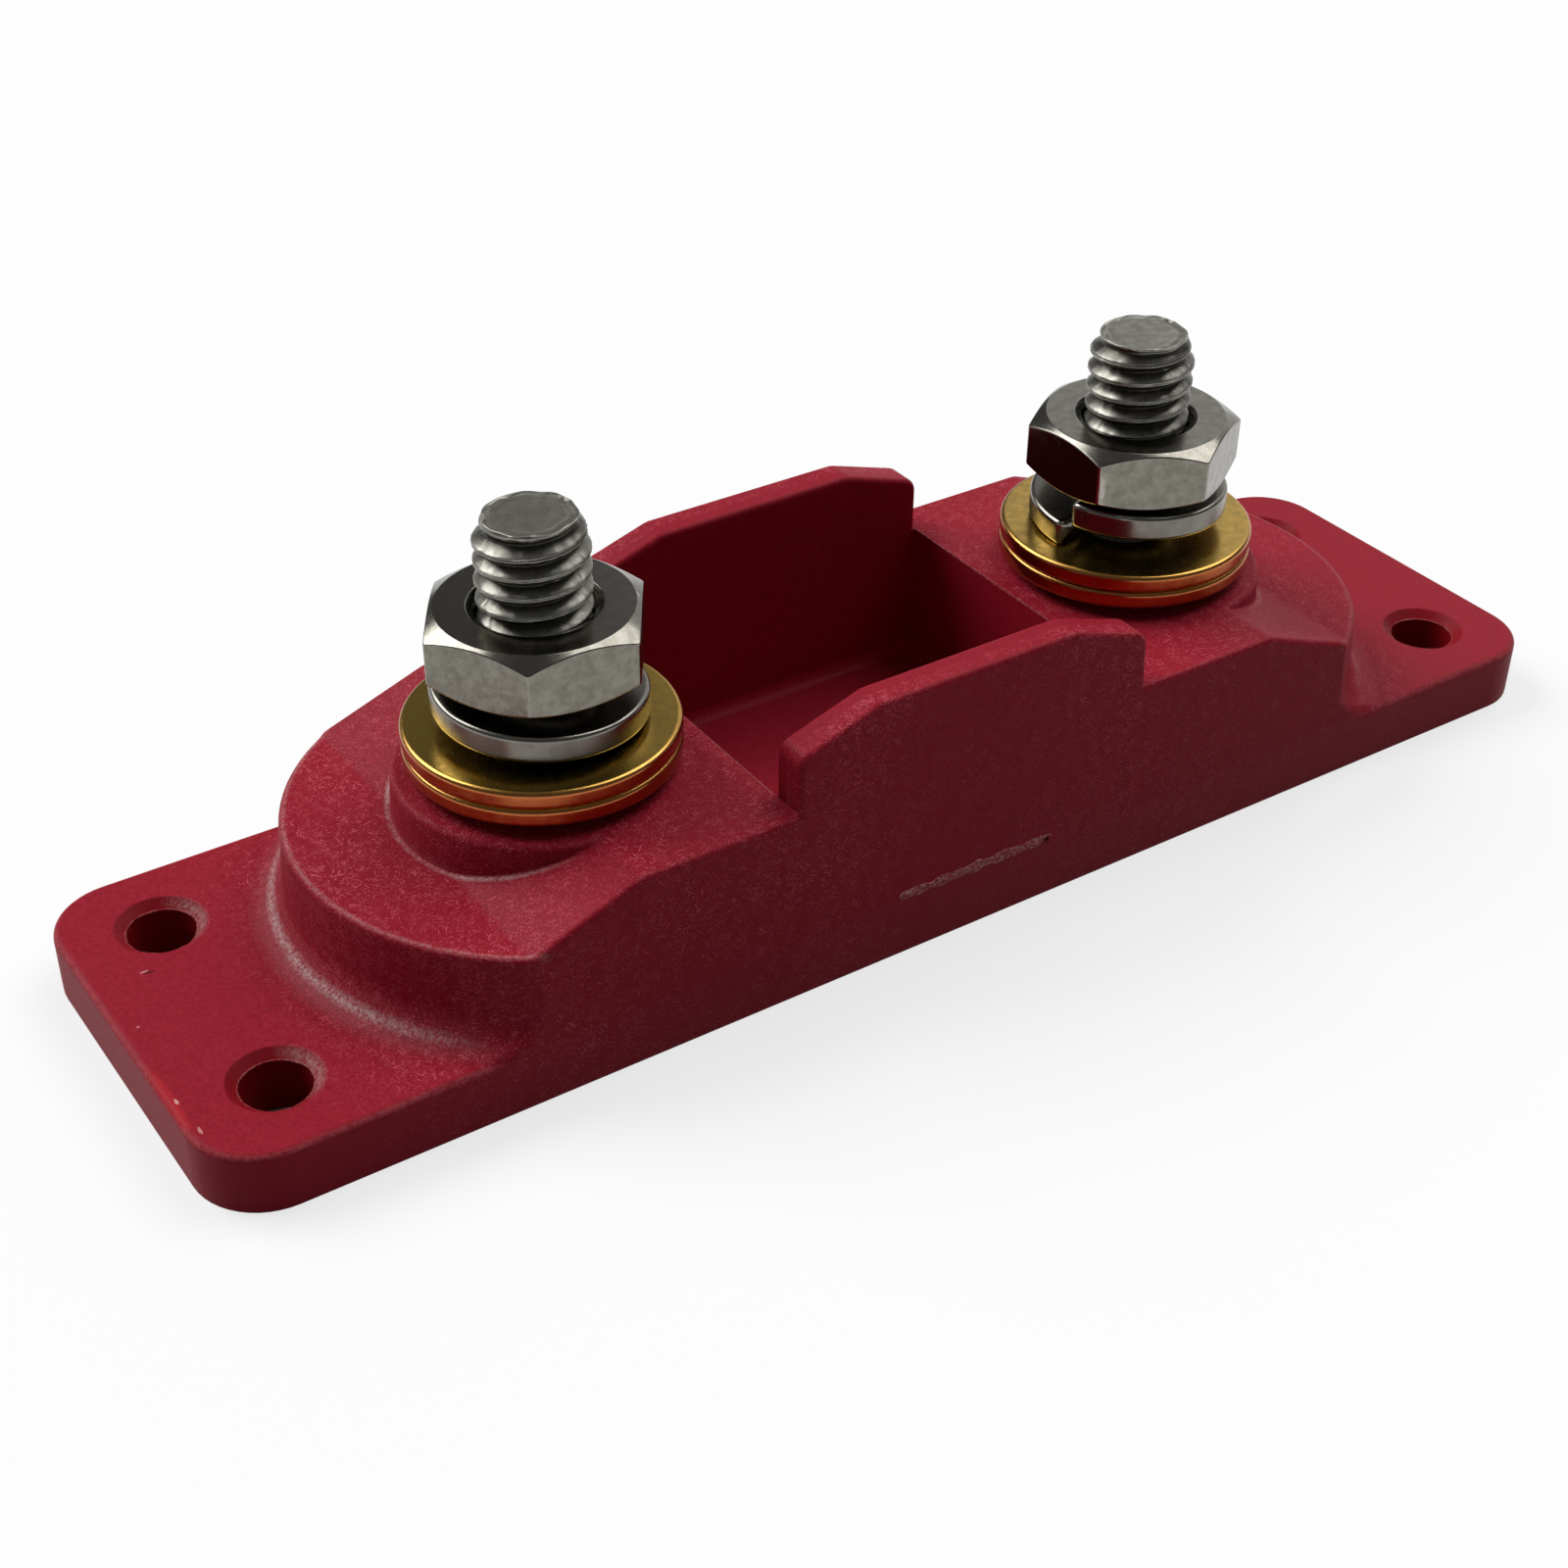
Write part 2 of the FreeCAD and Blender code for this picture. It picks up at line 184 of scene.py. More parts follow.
def rounded_loop(corners: Array, radii: Array, steps: int, support: float = 0.05) -> Array:
    """Rounds each corner of closed loops to an arc, with one point just before and one just after it.

    An arc touches both legs at radius / tan(half the corner's angle), which is held under LEG_SHARE of the
    shorter leg. Its points are centre + (sin((1-t)s) a + sin(ts) b) / sin(s), where a and b are the
    spokes to its two ends and s is the angle between them.

    Args:
        corners: (loops, n, 2) corner points in millimetres.
        radii: n radii in millimetres.
        steps: facets in each arc.
        support: distance of the extra points from the arc, which keeps flats flat when shaded.

    Returns:
        (loops, n * (steps + 3), 2) points.
    """
    back, ahead = np.roll(corners, 1, axis=1) - corners, np.roll(corners, -1, axis=1) - corners
    shorter = np.minimum(np.linalg.norm(back, axis=-1), np.linalg.norm(ahead, axis=-1))
    back, ahead = unit(back), unit(ahead)
    angle = np.arccos(np.clip((back * ahead).sum(-1), -1, 1))
    setback = np.minimum(np.asarray(radii) / np.tan(angle / 2), LEG_SHARE * shorter)
    radius = setback * np.tan(angle / 2)
    centre = corners + unit(back + ahead) * (radius / np.sin(angle / 2))[..., None]
    start, end = corners + back * setback[..., None], corners + ahead * setback[..., None]
    sweep = np.maximum(np.pi - angle, 1e-4)[..., None, None]
    t = np.linspace(0, 1, steps + 1)[:, None]
    spoke_a, spoke_b = (start - centre)[..., None, :], (end - centre)[..., None, :]
    arc = centre[..., None, :] + (np.sin((1 - t) * sweep) * spoke_a + np.sin(t * sweep) * spoke_b) / np.sin(sweep)
    reach = np.minimum(support, SUPPORT_SHARE * shorter)[..., None]
    before, after = start + back * reach, end + ahead * reach
    points = np.concatenate([before[..., None, :], arc, after[..., None, :]], axis=2)
    return points.reshape(corners.shape[0], -1, 2)


def hexagon(across_flats: float, corner_deg: float, corner_radius: float, facets: int) -> tuple[Array, Array]:
    """Angles and radii round a hexagon with softly rounded corners.

    Args:
        across_flats: distance between two opposite flats, in millimetres.
        corner_deg: direction of one corner from +X.
        corner_radius: rounding of the corners, in millimetres.
        facets: divisions of each flat.

    Returns:
        Angle and radius of each point, anticlockwise.
    """
    turns = np.radians(corner_deg + 60 * np.arange(6))
    reach = across_flats / 2 / math.cos(math.radians(30))
    corners = reach * joined(np.cos(turns), np.sin(turns))[None]
    loop = rounded_loop(corners, np.full(6, corner_radius), steps=4)[0].reshape(6, -1, 2)
    leg_start, leg_end = loop[:, -1], np.roll(loop[:, 0], -1, axis=0)
    t = np.linspace(0, 1, facets + 1)[1:-1]
    legs = leg_start[:, None] + (leg_end - leg_start)[:, None] * t[:, None]
    points = np.concatenate([loop, legs], axis=1).reshape(-1, 2)
    return np.arctan2(points[:, 1], points[:, 0]), np.hypot(points[:, 0], points[:, 1])


def rings(count: int, pairs: list[tuple[object, object]]) -> Array:
    """Profiles from radius and height pairs, each a number or one value for each angle.

    Args:
        count: number of angles.
        pairs: radius and height of each point along the profile.

    Returns:
        (count, len(pairs), 2) radius and height.
    """
    zero = np.zeros(count)
    return np.stack([joined(zero + r, zero + z) for r, z in pairs], axis=1)


def turned(theta: Array, profile: Array, x: float, y: float = 0.0) -> Array:
    """Carries profiles round an upright axis: (x + r cos a, y + r sin a, z).

    Args:
        theta: one angle for each profile.
        profile: (angles, points, 2) radius and height.
        x: where the axis stands along X, in millimetres.
        y: where the axis stands along Y, in millimetres.

    Returns:
        (angles, points, 3) grid in millimetres.
    """
    r, z = profile[..., 0], profile[..., 1]
    return joined(x + r * np.cos(theta)[:, None], y + r * np.sin(theta)[:, None], z)


def grid_faces(rows: int, columns: int, close_rows: bool, close_columns: bool, first: int = 0) -> Array:
    """Four-sided faces of a grid whose points are numbered row by row.

    Args:
        rows: number of rows.
        columns: number of columns.
        close_rows: whether the last row joins the first.
        close_columns: whether the last column joins the first.
        first: number of the grid's first point.

    Returns:
        (faces, 4) point numbers.
    """
    i = np.arange(rows if close_rows else rows - 1)[:, None]
    j = np.arange(columns if close_columns else columns - 1)[None, :]
    k, m = (i + 1) % rows, (j + 1) % columns
    quads = [i * columns + j, k * columns + j, k * columns + m, i * columns + m]
    return first + joined(*quads).reshape(-1, 4)


def fan_faces(ring: Array, centre: int, flip: bool) -> Array:
    """Triangles that close a ring of points onto its centre point."""
    ahead = np.roll(ring, -1)
    return joined(ring, centre, ahead) if flip else joined(ring, ahead, centre)


def capped(grid: Array) -> Surface:
    """Closes a tube, whose rows are closed sections, with a fan onto the middle of each end.

    Args:
        grid: (rows, columns, 3) points.

    Returns:
        All points and the arrays of faces.
    """
    rows, columns = grid.shape[:2]
    ring, middle = np.arange(columns), rows * columns
    faces = [
        grid_faces(rows, columns, False, True),
        fan_faces(ring, middle, flip=False),
        fan_faces(ring + (rows - 1) * columns, middle + 1, flip=True),
    ]
    return np.concatenate([grid.reshape(-1, 3), grid[[0, -1]].mean(axis=1)]), faces


def soft_noise(x: Array, y: Array, seed: int) -> Array:
    """Smooth uneven field from -1 to 1: the mean of eight sine waves of different direction and length."""
    rng = np.random.default_rng(seed)
    total = np.zeros(np.broadcast(x, y).shape)
    for _ in range(8):
        direction, phase, rate = rng.uniform(0, 2 * np.pi), rng.uniform(0, 2 * np.pi), rng.uniform(0.7, 2.6)
        total = total + np.sin(rate * (x * np.cos(direction) + y * np.sin(direction)) + phase)
    return total / 8


def put(name: str, data: bpy.types.ID) -> Object:
    """Makes an object of some data and puts it into the scene."""
    made = bpy.data.objects.new(name, data)
    bpy.context.scene.collection.objects.link(made)
    return made


def node_span(node: str) -> tuple[Array, Array]:
    """Lowest and highest corner of a CAD node in millimetres."""
    low, high = (np.array(corner) * TO_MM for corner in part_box(node))
    return low, high


def stud_axis(side: Side) -> float:
    """X of a stud's axis in millimetres."""
    return sum(corner[0] for corner in node_span(f"{side.value}_stud")) / 2


def new_piece(
    name: str,
    points: Array,
    faces: list[Array],
    material: Material,
    body: str,
    stands_for: str | None = None,
) -> Object:
    """Makes a smooth-shaded mesh object at the origin and ties it to the frame.

    Args:
        name: object name.
        points: (n, 3) points in millimetres, in the row frame.
        faces: arrays of point numbers, one array for each number of sides.
        material: its finish.
        body: the CAD body that it rides on.
        stands_for: the CAD node that it replaces, if any.

    Returns:
        The object.
    """
    mesh = bpy.data.meshes.new(name)
    mesh.from_pydata((points * MM).tolist(), [], [f for group in faces for f in group.tolist()])
    mesh.polygons.foreach_set("use_smooth", np.ones(len(mesh.polygons), dtype=bool))
    mesh.update()
    mesh.materials.append(material)
    piece = put(name, mesh)
    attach(piece, body)
    if stands_for:
        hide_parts(stands_for)
    log.info("%s: %d points, rides on %s", name, len(points), body)
    return piece


# Finishes. A MapRange turns its second and third number into 0 and 1, or into its last two.


@dataclass(frozen=True)
class Band:
    """A ring of rough whitish skin about an upright axis, the same in all four quarters of the base.

    It fades in along folded X (the distance from the middle of the base) between fade_from and fade_to.
    """

    centre: Pair
    radius: float
    half_width: float
    low: float
    high: float
    fade_from: float
    fade_to: float
    strength: float
    soft: float = 0.15

    def mask(self, add: Adder, folded: Node) -> Feed:
        """Builds the mask: 1 at the ring's radius, 0 at its half width, above, below and where it fades."""
        off = add("Math", (from_axis(add, folded, *self.centre), self.radius), operation="SUBTRACT")
        off = add("Math", (off,), operation="ABSOLUTE")
        spot = add("SeparateXYZ", (folded,)).outputs
        return product(
            add,
            (off, self.half_width, 0.0),
            (spot["Z"], self.low - self.soft, self.low + self.soft),
            (spot["Z"], self.high + self.soft, self.high - self.soft),
            (spot["X"], self.fade_from, self.fade_to),
            self.strength,
        )


@dataclass(frozen=True)
class Mark:
    """A small mark of its own on the skin: its place, how far it reaches along each axis, and its colour."""

    place: Triple
    reach: Triple
    tone: str
    strength: float = 1.0
    raggedness: float = 1.6
    outline: Pair = (1.95, 1.55)

    def mask(self, add: Adder, place: Feed, grain: Feed) -> Node:
        """Strength inside an ellipsoid round the mark, whose outline the grain makes ragged."""
        offset = add("VectorMath", (place, self.place), operation="SUBTRACT")
        scaled = add("VectorMath", (offset, self.reach), operation="DIVIDE")
        distance = add("VectorMath", (scaled,), operation="LENGTH").outputs["Value"]
        ragged = add("Math", (grain, self.raggedness, distance), operation="MULTIPLY_ADD")
        return add("MapRange", (ragged, *self.outline, 0.0, self.strength))


@dataclass(frozen=True)
class Moulding:
    """Crimson thermoset moulding compound filled with short glass fibre, as pressed in a steel mould.

    It is satin rather than glossy. Fibre ends show as short pale dashes, thickest near the block.
    Edges and inner corners where the fill is poor are rough and whitish.
    """

    name: str = "glass_filled_moulding"
    body: str = "#971a2c"
    deep: str = "#861121"
    fibre: str = "#e46f7c"
    wear: str = "#d2b6b4"
    rim: str = "#c8646a"
    # Darker red for the screw holes' lead-ins and bores: painted shade.
    bore: str = "#7e0c14"
    fibre_length: float = 1.25
    fibre_width: float = 0.09
    fibre_bend: float = 0.9
    wear_reach: float = 0.45
    bevel: float = 0.12
    relief: float = 0.03
    roughness: float = 0.5
    gloss: float = 0.09
    marks: tuple[Mark, ...] = ()

    def material(self, base: "Base") -> Material:
        """Builds the material.

        Args:
            base: the moulded base, for the places where its skin changes.

        Returns:
            The material.
        """
        made, add, place = new_material(self.name)
        folded = add("VectorMath", (place,), operation="ABSOLUTE")
        spot = add("SeparateXYZ", (place,)).outputs
        beside = add("SeparateXYZ", (folded,)).outputs
        from_stud, from_hole = from_axis(add, folded, base.stud_x, 0.0), from_axis(add, folded, *base.hole)
        cloud = add("TexNoise", {"Vector": place, "Scale": 0.13, "Detail": 3.0, "Roughness": 0.6})
        grain = add("TexNoise", {"Vector": place, "Scale": 3.2, "Detail": 4.0, "Roughness": 0.7})
        fine = add("TexNoise", {"Vector": place, "Scale": 4.2, "Detail": 3.0, "Roughness": 0.75})

        # The fibres lie in clouds. They thin out past the round ends, along the plate, on the long sides,
        # towards the right end and in the bay.
        in_bay = product(add, *((beside[axis], end + 0.3, end + 0.1) for axis, end in zip("XY", base.bay)))
        fibres = product(
            add,
            self._fibres(add, place),
            (cloud, 0.35, 0.65, 0.36, 0.9),
            (from_stud, base.fibre_reach + 6, base.fibre_reach, 0.5, 1.0),
            (beside["X"], base.plate_from + 5, base.plate_from + 13, 1.0, 0.1),
            (beside["Y"], *base.side_rounding, 1.0, 0.75),
            (spot["X"], 15.0, 32.0, 1.0, 0.6),
            (in_bay, 0.0, 1.0, 1.0, 0.12),
        )
        # The lead-ins of the screw holes are painted darker, and the bores darker still: painted shade in the holes.
        top, radius = base.plate_top, base.hole_radius
        lead_in = product(add, (from_hole, radius + 1.0, radius + 0.8), (spot["Z"], top - 0.01, top - 0.12, 0.0, 0.7))
        bore = product(add, (from_hole, radius + 0.35, radius + 0.1), (spot["Z"], top - 0.6, top - 1.0))
        # Rough bands and rubbed edges are speckled, strongest at the left end, and faint on the plate.
        speckle = add("MapRange", (fine, 0.4, 0.62, 0.12, 1.0))
        left_more = add("MapRange", (spot["X"], 15.0, -15.0, 0.4, 1.0))
        bands = [product(add, band.mask(add, folded), speckle, left_more) for band in base.bands()]
        on_plate = add("MapRange", (beside["X"], base.plate_from, base.plate_from + 2, 1.0, 0.35))
        rubbed = product(add, self._edge_wear(add, grain), on_plate)
        # The plate's rounded rim catches the light.
        rim = product(
            add,
            (spot["Z"], top - 0.42, top - 0.3),
            (spot["Z"], top - 0.03, top - 0.12),
            (beside["X"], base.plate_from, base.plate_from + 2),
            (from_hole, radius + 0.9, radius + 1.2),
            (grain, 0.35, 0.6, 0.1, 0.45),
        )

        tone = add("MixRGB", (add("MapRange", (grain, 0.35, 0.65)), self.deep, self.body))
        layers = [(fibres, self.fibre), (lead_in, self.bore), *((mask, self.wear) for mask in (*bands, rubbed))]
        layers += [(rim, self.rim), (bore, self.bore)]
        layers += [(mark.mask(add, place, grain), mark.tone) for mark in self.marks]
        for mask, colour in layers:
            tone = add("MixRGB", (mask, tone, colour))

        soft_edges = add("Bevel", {"Radius": self.bevel * MM}, samples=4)
        height = add("Math", (fibres, 0.6, fine), operation="MULTIPLY_ADD")
        bumps = {"Strength": 0.4, "Distance": self.relief * MM, "Height": height, "Normal": soft_edges}
        sheen = add("MapRange", (grain, 0.3, 0.7, self.roughness - 0.07, self.roughness + 0.1))
        skin = {"Base Color": tone, "Roughness": sheen, "Specular IOR Level": self.gloss, "Normal": add("Bump", bumps)}
        add("OutputMaterial", (add("BsdfPrincipled", skin),))
        return made

    def _fibres(self, add: Adder, place: Feed) -> Feed:
        """Short pale fibres: the cores of stretched cells in six directions, a random part of them shown.

        A slow swirl of about two millimetres bends them, so that no direction stands out.
        """
        swirl = add("TexNoise", {"Vector": place, "Scale": 0.5, "Detail": 0.0}).outputs["Color"]
        bent = add("VectorMath", (swirl, (self.fibre_bend,) * 3, place), operation="MULTIPLY_ADD")
        total = None
        for number, (turn, tilt) in enumerate(((14, 3), (63, 10), (107, -9), (152, 12), (4, 42), (176, 55))):
            stretch = {
                "Vector": bent,
                "Location": (11.3 * number, 5.7 * number, 3.1 * number),
                "Rotation": (0, math.radians(tilt), math.radians(turn)),
                "Scale": (self.fibre_length, self.fibre_width, self.fibre_width),
            }
            mapped = add("Mapping", stretch, vector_type="TEXTURE")
            cells = add("TexVoronoi", {"Vector": mapped, "Scale": 1.0}).outputs
            chance = add("SeparateColor", (cells["Color"],))
            layer = product(add, (cells["Distance"], 0.45, 0.2), (chance, 0.76, 1.0))
            total = layer if total is None else add("Math", (total, layer), operation="MAXIMUM")
        return total

    def _edge_wear(self, add: Adder, grain: Feed) -> Feed:
        """Broken pale line along outer edges, found by looking a short way into the solid."""
        reach = {"Distance": self.wear_reach * MM}
        inside = add("AmbientOcclusion", reach, inside=True, only_local=True, samples=8).outputs["AO"]
        return product(add, (inside, 0.72, 0.35), (grain, 0.45, 0.62, 0.05, 0.5))


@dataclass(frozen=True)
class Metal:
    """A metal surface: a base tint, a second tint in soft patches, fine scratches, and a lighter colour on edges that
    is both rubbed wear and painted highlight.
    """

    name: str
    tint: str
    patch: str
    roughness: float
    uneven: float
    patch_size: float
    scratch_depth: float
    scratch_stretch: Triple = (1.0, 1.0, 1.0)
    edge: str = "#c4c1b8"
    edge_share: float = 0.75
    stud_x: float = 25.4

    def material(self) -> Material:
        """Builds the material: patches of size patch_size millimetres, scratches stretched along one axis."""
        made, add, place = new_material(self.name)
        height = add("SeparateXYZ", (place,)).outputs["Z"]
        radius = from_axis(add, add("VectorMath", (place,), operation="ABSOLUTE"), self.stud_x, 0.0)
        patches = {"Vector": place, "Scale": 1 / self.patch_size, "Detail": 5.0, "Roughness": 0.65}
        cloud = add("TexNoise", patches)
        tone = add("MixRGB", (add("MapRange", (cloud, 0.38, 0.62)), self.tint, self.patch))
        sheen = add("MapRange", (cloud, 0.35, 0.7, self.roughness, self.roughness + self.uneven))
        stretched = add("Mapping", {"Vector": place, "Scale": self.scratch_stretch})
        lines = add("TexNoise", {"Vector": stretched, "Scale": 6.0, "Detail": 3.0, "Roughness": 0.7})
        bumps = {"Strength": 0.5, "Distance": self.scratch_depth * MM, "Height": lines}
        # Pointiness finds the edges. It is unsure on level faces with few points, so they are left out.
        shape = add("NewGeometry").outputs
        facing = add("VectorMath", (shape["Normal"],), operation="ABSOLUTE")
        upward = add("SeparateXYZ", (facing,)).outputs["Z"]
        # The lighter edge colour paints highlights along edges, nut corners and thread crests, as well as rubbed wear.
        rubbed = product(
            add,
            (shape["Pointiness"], 0.515, 0.56, 0.0, self.edge_share),
            (upward, 0.97, 0.85),
            (lines, 0.4, 0.55, 0.3, 1.0),
        )
        skin = {
            "Base Color": add("MixRGB", (rubbed, self.marked(add, radius, height, tone), self.edge)),
            "Metallic": 1.0,
            "Roughness": self.worn(add, height, sheen),
            "Normal": add("Bump", bumps),
        }
        add("OutputMaterial", (add("BsdfPrincipled", skin),))
        return made

    def marked(self, add: Adder, radius: Feed, height: Feed, tone: Feed) -> Feed:
        """Colour with its marks at a radius from the stud's axis and a height. Plain metal has none."""
        return tone

    def worn(self, add: Adder, height: Feed, sheen: Feed) -> Feed:
        """Roughness with its marks at a height. Plain metal has none."""
        return sheen


@dataclass(frozen=True)
class RolledThread(Metal):
    """Cold-headed, thread-rolled steel: painted shade between the turns, and rougher on the sheared tip."""

    root_radius: float = 3.15
    crest_radius: float = 3.8
    tip_height: float = 32.75
    # Near-black painted into the thread roots: painted shade.
    root_shade: str = "#2a2823"
    root_shade_share: float = 0.85
    tip_roughness: float = 0.38

    def marked(self, add: Adder, radius: Feed, height: Feed, tone: Feed) -> Feed:
        """Painted shade that grows from the crests to the roots, but not on the tip."""
        deep = (radius, self.crest_radius, self.root_radius)
        below_tip = (height, self.tip_height, self.tip_height - 0.3, 0.0, self.root_shade_share)
        return add("MixRGB", (product(add, deep, below_tip), tone, self.root_shade))

    def worn(self, add: Adder, height: Feed, sheen: Feed) -> Feed:
        """Rougher above the tip's rim."""
        more = self.tip_roughness - self.roughness
        extra = add("MapRange", (height, self.tip_height, self.tip_height + 0.1, 0.0, more))
        return add("Math", (sheen, extra), operation="ADD")


@dataclass(frozen=True)
class Chromate(Metal):
    """Zinc plate with yellow chromate, gold on the faces and amber where it runs over the rim."""

    face_radius: float = 9.2
    rim_width: float = 0.28
    rim: str = "#b0653a"
    # Pale gold on the rims and edges: rubbed wear and painted highlight.
    edge: str = "#dcc078"

    def marked(self, add: Adder, radius: Feed, height: Feed, tone: Feed) -> Feed:
        """Amber beyond the face's radius."""
        amber = add("MapRange", (radius, self.face_radius, self.face_radius + self.rim_width))
        return add("MixRGB", (amber, tone, self.rim))


# Stainless steel nut, faces tumbled bright, with fine upright drag marks from broaching and handling.
NUT_STEEL = Metal("tumbled_stainless", "#817e75", "#716e66", 0.15, 0.1, 0.8, 0.007, (1.0, 1.0, 0.25))
# Spring steel washer, bright and smooth from the wire it was coiled from.
SPRING_STEEL = Metal("bright_spring_steel", "#7e7b73", "#716e67", 0.2, 0.1, 2.0, 0.004, (1.0, 1.0, 3.0))
# Stainless steel stud, dull satin and a little warm.
STUD_STEEL = RolledThread("rolled_stainless", "#8d8b83", "#74726b", 0.31, 0.07, 0.7, 0.012)
# Yellow chromate over a grainy punched blank.
YELLOW_ZINC = Chromate("yellow_chromate_zinc", "#c6a04a", "#a98c42", 0.2, 0.1, 0.9, 0.006)
# The moulded skin, with a nick and a speck on the left flange and chips along the left end's edge. The nick is a
# painted shadow and a painted highlight side by side.
CRIMSON = Moulding(
    marks=(
        Mark((-53.1, 4.9, 4.6), (0.42, 0.13, 0.3), "#4c0a12", 0.8),
        Mark((-53.35, 5.15, 4.6), (0.34, 0.1, 0.3), "#b47478", 0.9),
        Mark((-55.8, 0.0, 4.6), (0.12, 0.1, 0.3), "#c06a72", 0.9),
        Mark((-56.8, -7.7, 4.45), (0.4, 3.6, 0.4), "#ab212b", 0.8),
        Mark((-56.5, -8.1, 4.55), (0.12, 0.32, 0.2), "#d29896", 0.9),
        Mark((-56.3, -11.3, 4.5), (0.12, 0.4, 0.2), "#c78582", 0.9),
    )
)
# Where the film gate tore away, the broken compound is drier and browner than the moulded skin.
# Its dark cracks and the pit at its end are painted shade, in place of hollows.
TORN_COMPOUND = Moulding(
    "torn_compound",
    "#c8595f",
    "#962f3a",
    # Dark dashes for the cracks, carried by the fibre pattern: painted shade.
    "#4a0c12",
    fibre_length=0.4,
    fibre_width=0.2,
    fibre_bend=0.2,
    roughness=0.75,
    gloss=0.04,
    # The pit: painted shade.
    marks=(Mark((6.15, -15.95, 4.78), (0.3, 1.0, 0.3), "#2a0406"),),
)


# Pieces


@dataclass(frozen=True)
class Thread:
    """Rolled thread, 18 turns to the inch, whose crests carry a seam between two lips."""

    phase: float
    pitch: float = 1.411
    depth: float = 0.68
    crest_share: float = 0.14
    root_share: float = 0.05
    ease: float = 0.25
    seam_depth: float = 0.06
    seam_share: float = 0.06

    def drop(self, theta: Array, z: Array) -> Array:
        """How far the surface lies inside the crests.

        The share of a turn since the last crest is z / pitch - angle / 2 pi - phase. Its distance from
        the root, 0 to 1, goes up the flank as a straight line eased a little by a smooth step, and a
        narrow bell-shaped dip at the crest is the seam.

        Args:
            theta: angle about the thread's axis.
            z: height.

        Returns:
            Depth below the crests, in millimetres.
        """
        turn = np.mod(z / self.pitch - theta / (2 * np.pi) - self.phase, 1.0)
        from_root = np.abs(turn - 0.5) * 2
        flank = np.clip((from_root - self.root_share) / (1 - self.root_share - self.crest_share), 0, 1)
        height = (1 - self.ease) * flank + self.ease * flank * flank * (3 - 2 * flank)
        seam = self.seam_depth * np.exp(-(((1 - from_root) / self.seam_share) ** 2))
        return self.depth * (1 - height) + seam


@dataclass(frozen=True)
class Fitting:
    """A metal piece on a stud, built again in the box of its CAD node.

    It is named for its node and for how it is made. One that moves is a body of its own.
    """

    kind: ClassVar[str]
    made: ClassVar[str]
    slot: ClassVar[Slot] = Slot.BRIGHT
    moves: ClassVar[bool] = False
    side: Side

    @property
    def node(self) -> str:
        """Name of the CAD node."""
        return f"{self.side.value}_{self.kind}"

    def surface(self, low: Array, high: Array) -> Surface:
        """Works out the closed surface.

        Args:
            low: lowest corner of the CAD node, in millimetres.
            high: its highest corner.

        Returns:
            Points and faces.
        """
        raise NotImplementedError

    def build(self, material: Material) -> Object:
        """Builds the piece.

        Args:
            material: its finish.

        Returns:
            The piece, which stands for its CAD node.
        """
        points, faces = self.surface(*node_span(self.node))
        body = self.node if self.moves else "holder"
        return new_piece(f"{self.node}_{self.made}", points, faces, material, body, self.node)


